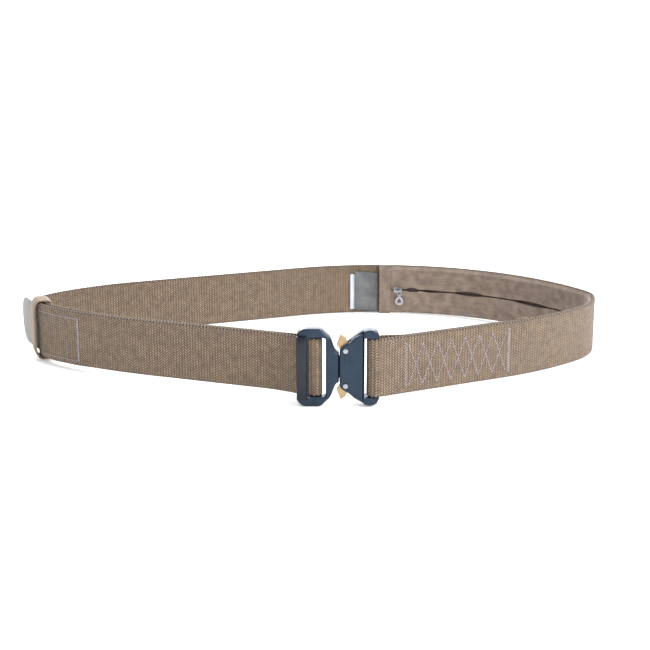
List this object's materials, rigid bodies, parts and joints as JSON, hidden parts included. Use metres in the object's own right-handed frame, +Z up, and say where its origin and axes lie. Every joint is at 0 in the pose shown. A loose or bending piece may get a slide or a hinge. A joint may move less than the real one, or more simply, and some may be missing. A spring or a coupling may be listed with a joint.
{
  "type": "money belt",
  "caption": "Webbing belt with a quick-release metal buckle, sliding adjuster, keeper loop and a hidden zip pocket sewn inside.",
  "frame": {"origin": "centre of the bounding box, on the ground that the belt stands on", "axes": "+X along the closed belt's long side, away from the adjustable end; -Y towards the buckle; +Z up the webbing's width"},
  "size_m": [0.4106, 0.2206, 0.0512],
  "materials": {
    "webbing": "coyote brown ribbed webbing, matte",
    "pocket_fabric": "thin tan woven nylon, slightly wrinkled",
    "keeper_elastic": "light tan smooth elastic",
    "pull_tab": "grey beige smooth tape",
    "buckle_body": "dark blue grey anodised, satin, bright chamfers",
    "clip_metal": "tan gold, satin",
    "bright_steel": "bright, smooth",
    "zip_tape": "purple grey zip tape",
    "zip_coil": "purple grey nylon coil",
    "care_label": "white satin label, blank",
    "blank_label": "grey woven label, blank"
  },
  "bodies": {
    "belt": {"strap_front_right": "webbing", "strap_right_bend": "webbing", "strap_back_right": "webbing", "strap_back_left": "webbing", "strap_left_bend": "webbing", "strap_buckle_loop": "webbing", "strap_fold_end": "webbing", "pocket_panel_upper": "pocket_fabric", "pocket_panel_lower": "pocket_fabric", "pocket_strip_front": "pocket_fabric", "pocket_strip_back": "pocket_fabric", "zip_tape_upper": "zip_tape", "zip_tape_lower": "zip_tape", "zip_coil_upper": "zip_coil", "zip_coil_lower": "zip_coil", "zip_stop_end": "bright_steel", "zip_stop_start": "bright_steel", "female_housing": "buckle_body", "female_cover": "buckle_body", "rivet_upper": "bright_steel", "rivet_lower": "bright_steel", "clip_spring_upper": "bright_steel", "clip_spring_lower": "bright_steel"},
    "male_end": {"male_frame": "buckle_body", "strap_front_left": "webbing", "tail_webbing": "webbing", "tail_pull_tab": "pull_tab"},
    "adjuster": {"adjuster_bar": "buckle_body", "strap_adjuster_wrap": "webbing"},
    "clip_upper": {"clip_upper": "clip_metal"},
    "clip_lower": {"clip_lower": "clip_metal"},
    "zip_slider": {"zip_slider": "bright_steel"},
    "zip_ring": {"zip_pull_ring": "bright_steel"},
    "zip_pull": {"zip_pull_tab": "bright_steel"},
    "keeper": {"keeper_loop": "keeper_elastic"},
    "labels": {"care_label": "care_label", "blank_label": "blank_label"}
  },
  "joints": [
    {"name": "buckle_release", "type": "slide", "parent": "belt", "child": "male_end", "axis": [-1, 0, 0], "range_m": [0, 0.022], "deforming": ["strap_left_bend"]},
    {"name": "adjuster_slide", "type": "slide", "parent": "male_end", "child": "adjuster", "axis": [1, 0, 0], "range_m": [-0.001, 0.001], "deforming": ["strap_adjuster_wrap"]},
    {"name": "clip_upper_press", "type": "hinge", "parent": "belt", "child": "clip_upper", "pos_m": [0.0269, -0.10333, 0.03708], "axis": [0, -0.9996, 0.0297], "range_deg": [-9, 6], "stiffness_Nm_per_rad": 0.02, "springref_deg": -9, "deforming": ["clip_spring_upper"]},
    {"name": "clip_lower_press", "type": "hinge", "parent": "belt", "child": "clip_lower", "pos_m": [0.0269, -0.10401, 0.01409], "axis": [0, 0.9996, -0.0297], "range_deg": [-9, 6], "stiffness_Nm_per_rad": 0.02, "springref_deg": -9, "deforming": ["clip_spring_lower"]},
    {"name": "zip_travel", "type": "hinge", "parent": "belt", "child": "zip_slider", "pos_m": [0.05274, -0.06229, 0.02436], "axis": [0, -0.0297, -0.9996], "range_deg": [0, 45]},
    {"name": "zip_ring_swing", "type": "hinge", "parent": "zip_slider", "child": "zip_ring", "pos_m": [0.07185, 0.10163, 0.01949], "axis": [-0.1079, -0.9937, 0.0295], "range_deg": [-30, 90]},
    {"name": "zip_pull_lift", "type": "hinge", "parent": "zip_ring", "child": "zip_pull", "pos_m": [0.07185, 0.10152, 0.01574], "axis": [-0.9942, 0.1079, -0.0032], "range_deg": [0, 100]},
    {"name": "keeper_slide", "type": "hinge", "parent": "male_end", "child": "keeper", "pos_m": [-0.15103, 0.00577, 0.02234], "axis": [0, 0.0297, 0.9996], "range_deg": [0, 24]},
    {"name": "label_flip", "type": "hinge", "parent": "belt", "child": "labels", "pos_m": [0.0554, 0.10645, 0.01735], "axis": [0, 0.0297, 0.9996], "range_deg": [0, 90], "stiffness_Nm_per_rad": 0.0002}
  ]
}
